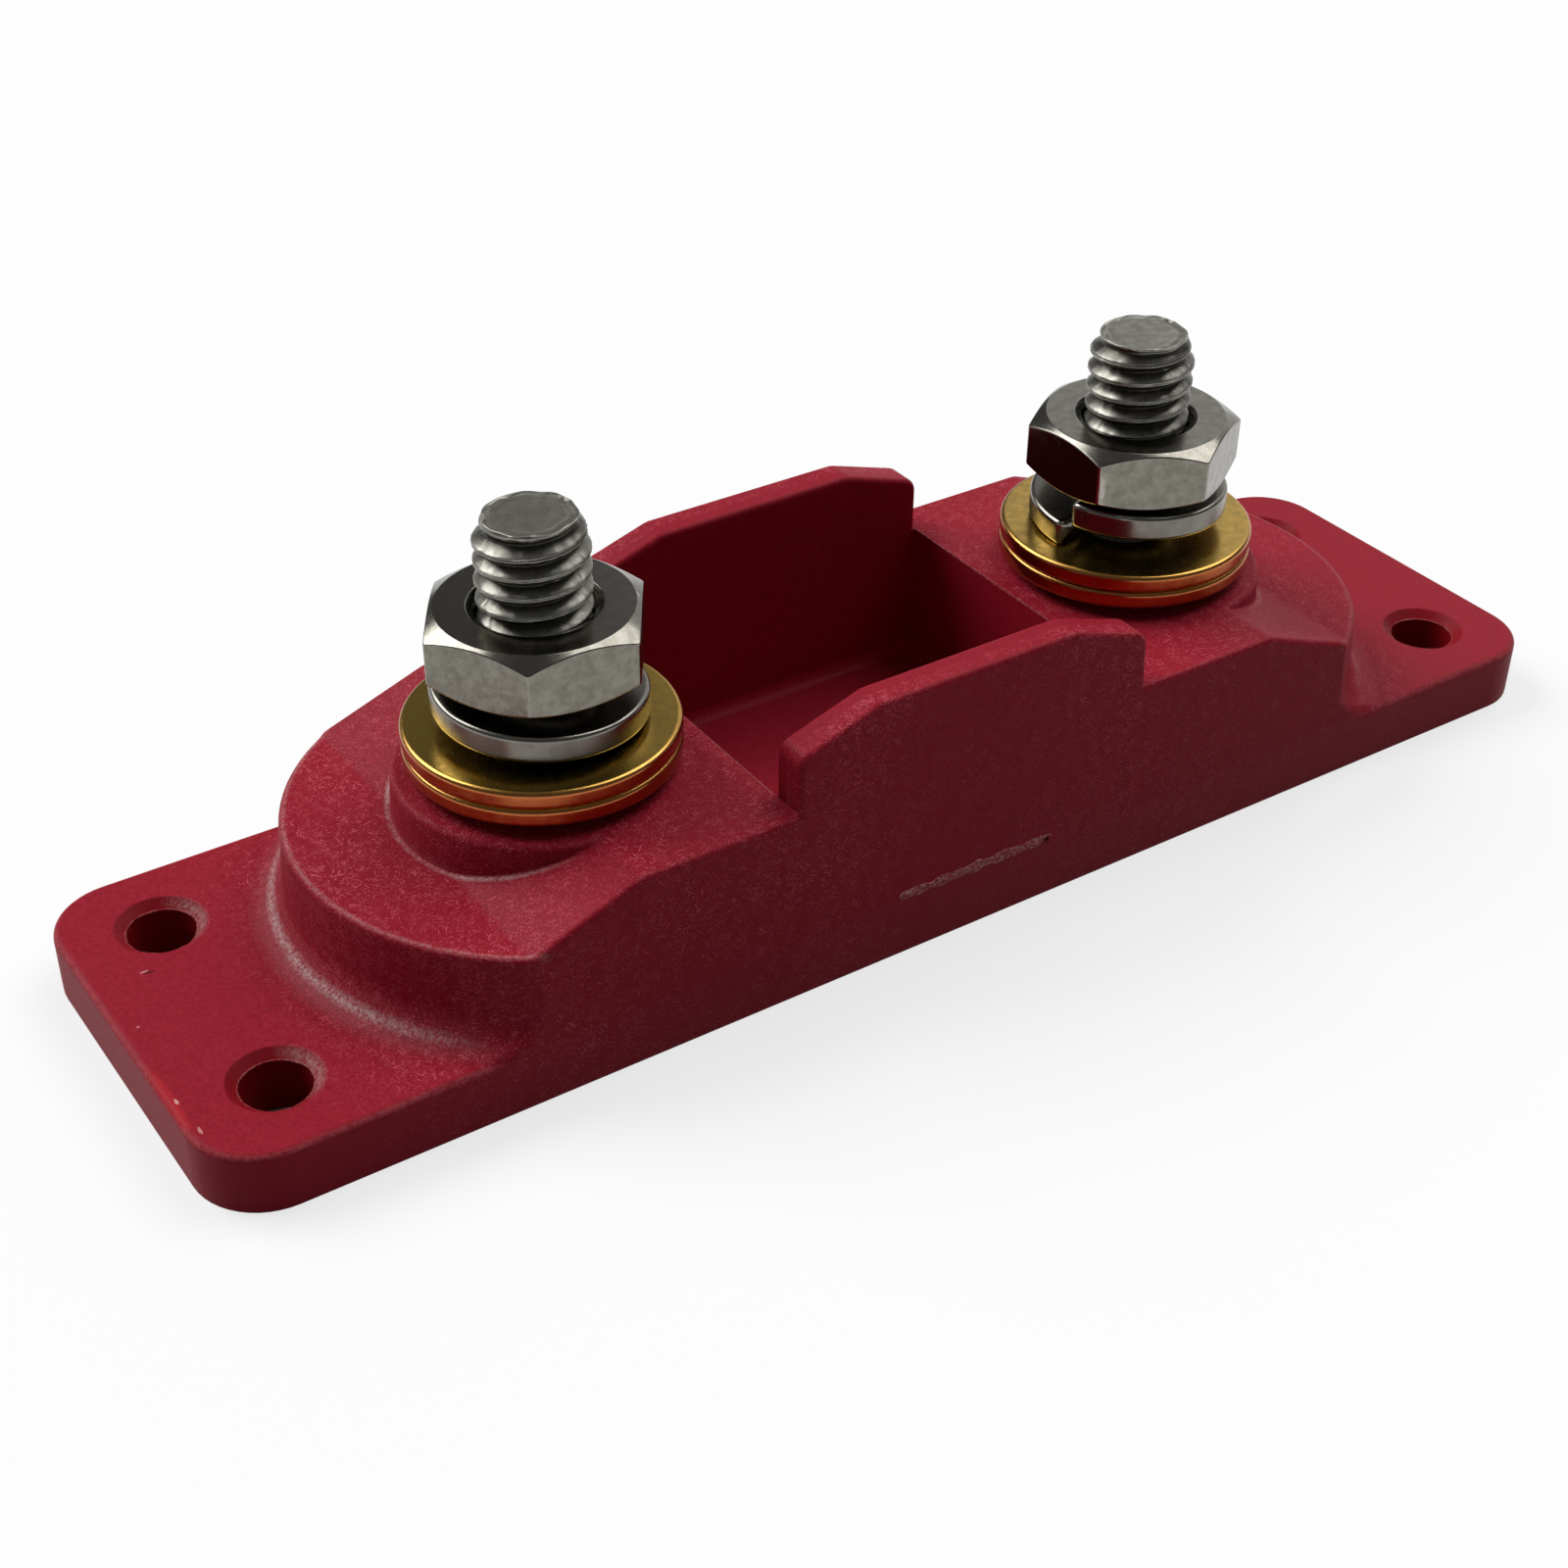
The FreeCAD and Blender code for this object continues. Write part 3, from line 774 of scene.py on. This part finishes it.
@dataclass(frozen=True)
class Stud(Fitting):
    """Hex head bolt let into the base from below, whose threaded shank stands up as the stud."""

    kind = "stud"
    made = "threaded"
    slot = Slot.STUD
    thread: Thread
    facets: int = 14
    head_across_flats: float = 12.7
    head_top: float = 7.6
    head_face_inset: float = 0.3
    head_corner_radius: float = 0.3
    centre_radius: float = 0.3
    support: float = 0.06
    crest_radius: float = 3.86
    tip_chamfer: float = 0.78
    tip_taper: float = 0.5
    plain_point: float = 0.15
    growing_turns: float = 1.4
    rim_wear: float = 0.3
    rim_wear_depth: float = 0.5
    lip_wear: float = 0.1
    hidden_step: float = 0.35
    row_step: float = 0.045
    face_dish: float = 0.05

    def surface(self, low: Array, high: Array) -> Surface:
        """One closed surface from the head's underside to the tip: a profile at each angle."""
        bottom, tip, x = low[2], high[2], stud_axis(self.side)
        seat = node_span(f"{self.side.value}_flat_washer_lower")[0][2]
        theta, reach = hexagon(self.head_across_flats, 0.0, self.head_corner_radius, self.facets)
        shank = self._shank(theta, seat, tip)
        face = self._face(theta, shank[:, -1:, 0], tip)
        grid = turned(theta, np.concatenate([self._head(reach, bottom), shank, face], axis=1), x)
        count, columns = grid.shape[:2]
        first, middle = np.arange(count) * columns, count * columns
        faces = [
            grid_faces(count, columns, True, False),
            fan_faces(first, middle, flip=True),
            fan_faces(first + columns - 1, middle + 1, flip=False),
        ]
        return np.concatenate([grid.reshape(-1, 3), [[x, 0, bottom], [x, 0, tip - self.face_dish * 0.8]]]), faces

    def _head(self, reach: Array, bottom: float) -> Array:
        """Head from the middle of its face up to its shoulder: at each angle a face, a chamfer and a flat.

        Args:
            reach: radius of the hexagon at each angle.
            bottom: height of the head's face.

        Returns:
            (angles, points, 2) radius and height.
        """
        flat = self.head_across_flats / 2 - self.head_face_inset
        chamfer = bottom + (reach - flat) * CHAMFER_SLOPE
        return rings(
            len(reach),
            [
                (self.centre_radius, bottom),
                (flat - 0.2, bottom),
                (flat, bottom + 0.02),
                (reach - 0.03, chamfer),
                (reach, chamfer + self.support),
                (reach, self.head_top - self.support),
                (reach - self.support, self.head_top),
            ],
        )

    def _shank(self, theta: Array, seat: float, tip: float) -> Array:
        """Thread from the head to the tip's rim, in coarse rows below the washers and fine rows above.

        The crests are held inside a cone that starts from the rim, and the thread's drop below them
        grows from nothing at the rim, so that the first turns grow out of the point.

        Args:
            theta: angles.
            seat: height of the lowest washer's underside.
            tip: height of the stud's top.

        Returns:
            (angles, rows, 2) radius and height.
        """
        z = np.concatenate(
            [
                np.arange(self.head_top, seat, self.hidden_step),
                np.arange(seat, tip - self.row_step / 2, self.row_step),
                [tip - 0.004],
            ]
        )
        across, along = np.cos(theta)[:, None], np.sin(theta)[:, None]
        worn = self.rim_wear * soft_noise(across * 5, along * 5, 11)
        cone = self.crest_radius - self.tip_chamfer + self.tip_taper * (tip - z)
        cone = cone + worn * np.clip(1 - (tip - z) / self.rim_wear_depth, 0, 1)
        growth = np.sqrt(np.clip((tip - z - self.plain_point) / self.growing_turns, 0, 1))
        radius = np.minimum(self.crest_radius, cone) - growth * self.thread.drop(theta[:, None], z[None, :])
        lips = soft_noise(across * 9 + z * 2, along * 9 - z, 12) + soft_noise(across * 21 - z * 3, along * 21, 13)
        radius = radius - self.lip_wear * growth * np.clip(lips, 0, 1)
        return joined(radius, z)

    def _face(self, theta: Array, rim: Array, tip: float) -> Array:
        """Sheared tip: a raised uneven rim, a shallow dish inside it, and smooth bumps that never rise above.

        Args:
            theta: angles.
            rim: (angles, 1) radius of the tip's rim.
            tip: height of the stud's top.

        Returns:
            (angles, rings, 2) radius and height from the rim inwards.
        """
        share = np.concatenate([[0.985, 0.965, 0.94, 0.91], np.linspace(0.88, 0.08, 17)])
        r = rim * share
        px, py = r * np.cos(theta)[:, None], r * np.sin(theta)[:, None]
        groove = 0.05 * np.exp(-(((share - 0.83) / 0.05) ** 2))
        bumps = 0.05 * soft_noise(px * 1.3, py * 1.3, 7) + 0.02 * soft_noise(px * 3.1, py * 3.1, 8)
        chips = 0.4 * np.clip(soft_noise(px * 1.9 + 40, py * 1.9, 9), 0, 1) * np.exp(-(((1 - share) / 0.07) ** 2))
        dish = self.face_dish * np.clip((1 - share) * 5, 0, 1) + groove + chips
        return joined(r, np.minimum(tip - dish + bumps * np.clip((1 - share) * 12, 0, 1), tip))


@dataclass(frozen=True)
class FlatWasher(Fitting):
    """Punched flat washer, plated: outer edges rolled over, bore edges barely broken."""

    kind = "flat_washer"
    made = "plated"
    slot = Slot.ZINC
    level: str
    rim_radius: float = 0.34
    bore_radius: float = 4.35
    bore_edge: float = 0.1
    facets: int = 160

    @property
    def node(self) -> str:
        """Name of the CAD node."""
        return f"{self.side.value}_{self.kind}_{self.level}"

    def surface(self, low: Array, high: Array) -> Surface:
        """One rounded section carried round the stud."""
        x, rim, bottom, top = (low[0] + high[0]) / 2, (high[0] - low[0]) / 2, low[2], high[2]
        corners = np.array([[(self.bore_radius, bottom), (rim, bottom), (rim, top), (self.bore_radius, top)]])
        radii = np.array([self.bore_edge, self.rim_radius, self.rim_radius, self.bore_edge])
        section = rounded_loop(corners, radii, steps=6)
        theta = np.linspace(0, 2 * np.pi, self.facets, endpoint=False)
        grid = turned(theta, np.repeat(section, self.facets, axis=0), x)
        return grid.reshape(-1, 3), [grid_faces(self.facets, grid.shape[1], True, True)]


@dataclass(frozen=True)
class LockWasher(Fitting):
    """Split spring washer: one turn of a bar that runs down a left-hand helix from its high end."""

    kind = "lock_washer"
    made = "sprung"
    split_start_deg: float
    split_deg: float = 8.0
    bore_radius: float = 4.15
    outer_radius: float = 7.35
    thickness: float = 1.95
    edge_radius: float = 0.32
    end_size: float = 0.955
    facets: int = 150

    def surface(self, low: Array, high: Array) -> Surface:
        """A bar whose section at share t of the turn is lowered by t times the rise, and is smaller at its ends."""
        inner, outer, thick = self.bore_radius, self.outer_radius, self.thickness
        corners = np.array([[(inner, 0.0), (outer, 0.0), (outer, thick), (inner, thick)]])
        section = rounded_loop(corners, np.full(4, self.edge_radius), steps=5)[0]
        share = np.linspace(0, 1, self.facets)
        theta = np.radians(self.split_start_deg + (360 - self.split_deg) * share)
        lift = low[2] + (high[2] - low[2] - thick) * (1 - share)
        size = np.ones(self.facets)
        size[[0, -1]] = self.end_size
        middle = np.array([(inner + outer) / 2, thick / 2])
        profile = middle + (section - middle) * size[:, None, None] + joined(0.0, lift)[:, None, :]
        return capped(turned(theta, profile, stud_axis(self.side)))


@dataclass(frozen=True)
class Nut(Fitting):
    """Hex nut, chamfered at both faces, with a countersunk bore in which the first thread turns show."""

    kind = "nut"
    made = "machined"
    moves = True
    corner_deg: float
    thread: Thread
    facets: int = 14
    across_flats: float = 13.9
    corner_radius: float = 0.3
    face_inset: float = 0.3
    bore_radius: float = 4.05
    lead_in: float = 0.42
    lead_in_depth: float = 0.22
    groove_depth: float = 0.28
    groove_fade: float = 0.25
    edge_radii: tuple[float, ...] = (0.05, 0.12, 0.14, 0.14, 0.12, 0.06)
    bore_rows: int = 70

    def surface(self, low: Array, high: Array) -> Surface:
        """One closed surface.

        At each angle the outer profile is lower face, 30 degree chamfer, flat, chamfer and upper face,
        so the chamfer meets the flats in the arcs that real nuts have. The bore is its radius plus a
        groove that follows the stud's thread and fades into the lead-in.
        """
        bottom, top = low[2], high[2]
        theta, reach = hexagon(self.across_flats, self.corner_deg, self.corner_radius, self.facets)
        flat, sink = self.across_flats / 2 - self.face_inset, self.bore_radius + self.lead_in
        drop = (reach - flat) * CHAMFER_SLOPE
        corners = rings(
            len(theta),
            [(sink, bottom), (flat, bottom), (reach, bottom + drop), (reach, top - drop), (flat, top), (sink, top)],
        )
        outer = rounded_loop(corners, np.array(self.edge_radii), steps=4)
        z = np.linspace(top - self.lead_in_depth, bottom + self.lead_in_depth, self.bore_rows)
        fade = np.clip((np.minimum(top - z, z - bottom) - self.lead_in_depth) / self.groove_fade, 0, 1)
        groove = self.groove_depth * self.thread.drop(theta[:, None], z[None, :]) / self.thread.depth
        bore = joined(self.bore_radius + fade * groove, z)
        grid = turned(theta, np.concatenate([outer, bore], axis=1), stud_axis(self.side))
        return grid.reshape(-1, 3), [grid_faces(len(theta), grid.shape[1], True, True)]


@dataclass(frozen=True)
class Base:
    """The moulded base: the CAD solid with its finish, the torn gate and the flash in its screw holes.

    Holes, studs and bay are given for the +X, +Y quarter.
    """

    stud_x: float = 25.4
    bay: Pair = (14.7, 13.3)
    hole: Pair = (50.45, 9.4)
    hole_radius: float = 2.45
    plate_top: float = 4.6
    land_height: float = 11.3
    lead_in_depth: float = 0.6
    end_radius: float = 18.1
    boss_radius: float = 10.4
    side_rounding: Pair = (14.9, 15.4)
    gate_span: Pair = (-6.9, 6.6)
    gate_grid: tuple[int, int] = (170, 15)
    gate_height: float = 4.95
    gate_half_width: float = 0.44
    gate_root: float = 0.08
    flash_grid: tuple[int, int] = (90, 4)
    flash_root: float = 0.04

    @property
    def fibre_reach(self) -> float:
        """Distance from a stud beyond which fewer fibres show."""
        return self.end_radius + 3.5

    @property
    def plate_from(self) -> float:
        """Distance from the middle, along the base, beyond which the plate stands clear of the block."""
        return self.stud_x + 11.5

    def bands(self) -> tuple[Band, ...]:
        """Rough rings: two at the round ends' foot, the bosses' foot, the round ends' top, the lead-ins."""
        stud, out = (self.stud_x, 0.0), self.stud_x
        foot, boss_foot, hole_x = self.end_radius + 1.15, self.boss_radius + 0.4, self.hole[0]
        return (
            Band(stud, foot, 0.45, self.plate_top, self.plate_top + 1.1, out + 12.5, out + 17.5, 0.8),
            Band(stud, foot + 0.1, 1.5, self.plate_top, self.plate_top + 1.8, out + 11, out + 17, 0.1),
            Band(stud, boss_foot, 0.28, self.land_height, 14.0, out + 3, out + 8, 0.8),
            Band(stud, self.end_radius - 0.3, 0.25, self.land_height - 0.4, 11.6, out + 8, out + 9, 0.3),
            # The lead-in ring is kept to each countersink's side towards the block, the side that faces the light:
            # painted highlight as well as rough skin.
            Band(self.hole, self.hole_radius + 0.3, 0.6, 3.9, 4.7, hole_x - 0.9, hole_x - 2.5, 0.4),
        )

    def dress(self, material: Material) -> None:
        """Gives the CAD solid its finish."""
        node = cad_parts["base"]
        node.data.materials.clear()
        node.data.materials.append(material)
        log.info("base: CAD solid with its moulded finish")

    def gate(self, material: Material) -> Object:
        """Torn film gate on the front side: a strip whose height is noise that fades out at its border.

        A plain sheet inside the wall and a fan of triangles at each end close it.

        Args:
            material: its finish.

        Returns:
            The piece.
        """
        (start, end), (rows, columns) = self.gate_span, self.gate_grid
        along = np.linspace(start, end, rows)[:, None]
        across = np.linspace(-1, 1, columns)[None, :]
        swell = 0.95 + 0.5 * soft_noise(along * 1.9, along * 0, 3)
        z = self.gate_height + across * self.gate_half_width * swell + 0.03 * soft_noise(along * 3, across * 2, 4)
        fade = np.clip(1.25 * (1 - across**4), 0, 1)
        fade = fade * np.clip((along - start) * 2, 0, 1) * np.clip((end - along) * 2, 0, 1)
        lift = 0.04 + 0.15 * soft_noise(along * 3.1, across * 2.4, 5) + 0.08 * soft_noise(along * 9, across * 4, 6)
        wall = self._front_wall(z)
        torn = wall - fade * np.clip(lift, 0.012, 0.13) + 0.03 * (1 - fade)
        front, back = (joined(along, y, z) for y in (torn, wall + self.gate_root))
        points, faces = capped(np.concatenate([front, back[:, ::-1]], axis=1))
        return new_piece("gate_scar", points, faces, material, "holder")

    def _front_wall(self, z: Array) -> Array:
        """Y of the front wall at each height: the first hit of level rays from the front, joined by lines."""
        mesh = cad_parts["base"].data
        tree = BVHTree.FromPolygons([v.co for v in mesh.vertices], [p.vertices for p in mesh.polygons])
        levels = np.linspace(z.min(), z.max(), 25)
        front, towards = 2 * node_span("base")[0][1] * MM, Vector((0, 1, 0))
        hits = [tree.ray_cast(Vector((0.0, front, level * MM)), towards)[0].y * TO_MM for level in levels]
        return np.interp(z, levels, hits)

    def flash(self, material: Material) -> Object:
        """Ragged moulding flash round the bore of each screw hole, at the foot of its lead-in.

        Args:
            material: its finish.

        Returns:
            The piece.
        """
        facets, steps = self.flash_grid
        theta = np.linspace(0, 2 * np.pi, facets, endpoint=False)
        share = np.linspace(0, 1, steps)[None, :]
        level = self.plate_top - self.lead_in_depth
        points, faces = [], []
        for number, (sx, sy) in enumerate(((-1, -1), (-1, 1), (1, -1), (1, 1))):
            ragged = 0.07 + 0.1 * soft_noise(3.1 * np.cos(theta), 3.1 * np.sin(theta), 20 + number)
            ragged = np.clip(ragged + 0.06 * soft_noise(9 * np.cos(theta), 9 * np.sin(theta), 30 + number), 0.01, 0.22)
            r = self.hole_radius + self.flash_root - share * (ragged[:, None] + self.flash_root)
            upper, lower = joined(r, level + 0.05 - 0.05 * share), joined(r, level - 0.12 + 0.1 * share)[:, ::-1]
            profile = np.concatenate([upper, lower], axis=1)
            points.append(turned(theta, profile, sx * self.hole[0], sy * self.hole[1]).reshape(-1, 3))
            faces.append(grid_faces(facets, 2 * steps, True, True, first=number * facets * 2 * steps))
        return new_piece("hole_flash", np.concatenate(points), faces, material, "holder")


# Studio


@dataclass(frozen=True)
class Lamp:
    """A distant soft lamp: its strength, how wide it looks, and the direction that it stands in."""

    name: str
    strength: float
    spread_deg: float
    direction: Triple


@dataclass(frozen=True)
class Studio:
    """Pale floor, soft light from above and behind, and a camera where the photographer stood.

    Places are in millimetres, and clip, floor_reach and floor_drop in metres.
    """

    camera_place: Triple = (-88.886, -122.497, 106.708)
    azimuth_deg: float = -33.454
    elevation_deg: float = 35.611
    roll_deg: float = -0.262
    focal_px: float = 2492.45
    centre_px: Pair = (774.05, 846.93)
    image_px: float = 1600.0
    sensor_mm: float = 36.0
    clip: Pair = (0.01, 20.0)
    floor_colour: str = "#f4f4f4"
    floor_bounce: str = "#9a9a9a"
    floor_glow: float = 0.72
    backdrop: str = "#fdfdfd"
    walls: str = "#f6f6f7"
    floor_reach: float = 3.0
    floor_drop: float = 0.00003
    shade_inset: float = 2.5
    lamps: tuple[Lamp, ...] = (
        Lamp("back_lamp", 2.35, 40, (-0.36, 0.66, 0.72)),
        Lamp("top_lamp", 1.45, 42, (0.55, 0.06, 0.83)),
    )
    room: float = 0.12
    window: float = 0.85
    window_edge: Pair = (0.86, 0.96)
    window_direction: Triple = (0.8, 0.5, 0.33)

    def build(self) -> None:
        """Builds camera, floor, lamps and room, and sets the plain colour view."""
        self._camera()
        self._floor()
        self._lamps()
        self._room()
        bpy.context.scene.view_settings.view_transform = "Standard"

    def _camera(self) -> None:
        """Camera from the fitted view: focal length and optical centre are in pixels of the photograph."""
        a, e, roll = (math.radians(v) for v in (self.azimuth_deg, self.elevation_deg, self.roll_deg))
        back = Vector((math.sin(a) * math.cos(e), -math.cos(a) * math.cos(e), math.sin(e)))
        level = Vector((math.cos(a), math.sin(a), 0))
        up = back.cross(level)
        right = math.cos(roll) * level - math.sin(roll) * up
        up = math.sin(roll) * level + math.cos(roll) * up
        lens = bpy.data.cameras.new("camera")
        lens.sensor_width = self.sensor_mm
        lens.lens = self.focal_px / self.image_px * self.sensor_mm
        lens.shift_x = (self.image_px / 2 - self.centre_px[0]) / self.image_px
        lens.shift_y = (self.centre_px[1] - self.image_px / 2) / self.image_px
        lens.clip_start, lens.clip_end = self.clip
        camera = put("camera", lens)
        turn = Matrix((right, up, back)).transposed().to_4x4()
        camera.matrix_world = Matrix.Translation(Vector(self.camera_place) * MM) @ turn
        bpy.context.scene.camera = camera

    def _floor(self) -> None:
        """Pale floor just under the base: half lit by the lamps and half by its own faint glow.

        Only what sees it straight or in a reflection gets the glow, so the object is lit by plain paper.
        """
        reach, drop = self.floor_reach, -self.floor_drop
        mesh = bpy.data.meshes.new("floor")
        corners = [(-reach, -reach, drop), (reach, -reach, drop), (reach, reach, drop), (-reach, reach, drop)]
        mesh.from_pydata(corners, [], [(0, 1, 2, 3)])
        paper, add, place = new_material("paper_floor")
        rays = self._rays(add, "Camera", "Glossy", "Transmission")
        # Under the base the paper keeps the grey bounce colour and no glow: painted shade, seen through the screw
        # holes.
        seen = product(add, rays, self._beside_base(add, place))
        tone = add("MixRGB", (seen, self.floor_bounce, self.floor_colour))
        lit = add("BsdfDiffuse", (tone,))
        glow = add("Emission", ("#ffffff", 1.0))
        add("OutputMaterial", (add("MixShader", (product(add, seen, self.floor_glow), lit, glow)),))
        mesh.materials.append(paper)
        floor = put("floor", mesh)

    def _rays(self, add: Adder, *kinds: str) -> Feed:
        """1 for rays of the named kinds, and 0 for all others."""
        rays = add("LightPath").outputs
        seen = 0.0
        for kind in kinds:
            seen = add("Math", (seen, rays[f"Is {kind} Ray"]), operation="MAXIMUM")
        return seen

    def _beside_base(self, add: Adder, place: Feed) -> Node:
        """0 on the paper under the base, which shows through the screw holes, and 1 beside it."""
        folded = add("VectorMath", (place,), operation="ABSOLUTE")
        spot = add("SeparateXYZ", (folded,)).outputs
        sides = ((spot[axis], end * TO_MM - self.shade_inset) for axis, end in zip("XY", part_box("base")[1]))
        beyond = tuple(add("Math", side, operation="GREATER_THAN") for side in sides)
        return add("Math", beyond, operation="MAXIMUM")

    def _lamps(self) -> None:
        """Distant lamps, each turned so that its light comes from its direction."""
        for lamp in self.lamps:
            light = bpy.data.lights.new(lamp.name, "SUN")
            light.energy = lamp.strength
            light.angle = math.radians(lamp.spread_deg)
            lit = put(lamp.name, light)
            lit.rotation_mode = "QUATERNION"
            lit.rotation_quaternion = Vector(lamp.direction).to_track_quat("Z", "Y")

    def _room(self) -> None:
        """Dim room with one wide soft window, low behind the right end.

        The camera sees pale paper beyond the floor instead. Metal keeps mirroring the dim room.
        """
        world = bpy.data.worlds.new("room")
        add = emptied(world)
        looking = add("TexCoord").outputs["Generated"]
        towards = tuple(Vector(self.window_direction).normalized())
        facing = add("VectorMath", (looking, towards), operation="DOT_PRODUCT").outputs["Value"]
        glow = add("MapRange", (facing, *self.window_edge, self.room, self.window))
        walls = add("Background", (self.walls, glow))
        paper = add("Background", (self.backdrop, 1.0))
        seen = self._rays(add, "Camera", "Transmission")
        add("OutputWorld", (add("MixShader", (seen, walls, paper)),))
        bpy.context.scene.world = world


def main() -> None:
    """Builds the pieces in order."""
    logging.basicConfig(level=logging.INFO, format="%(message)s")
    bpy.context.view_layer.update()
    base = Base()
    crimson = CRIMSON.material(base)
    base.dress(crimson)
    base.gate(TORN_COMPOUND.material(base))
    base.flash(crimson)
    rolled, tumbled, sprung, zinc = (m.material() for m in (STUD_STEEL, NUT_STEEL, SPRING_STEEL, YELLOW_ZINC))
    threads = {Side.LEFT: Thread(phase=0.76), Side.RIGHT: Thread(phase=0.0)}
    nut_corners = {Side.LEFT: -2.6, Side.RIGHT: 31.0}
    splits = {Side.LEFT: 24.0, Side.RIGHT: 195.0}
    for side in Side:
        Stud(side, threads[side]).build(rolled)
        for level in ("lower", "upper"):
            FlatWasher(side, level).build(zinc)
        LockWasher(side, splits[side]).build(sprung)
        Nut(side, nut_corners[side], threads[side]).build(tumbled)
    Studio().build()


if __name__ == "__main__":
    main()
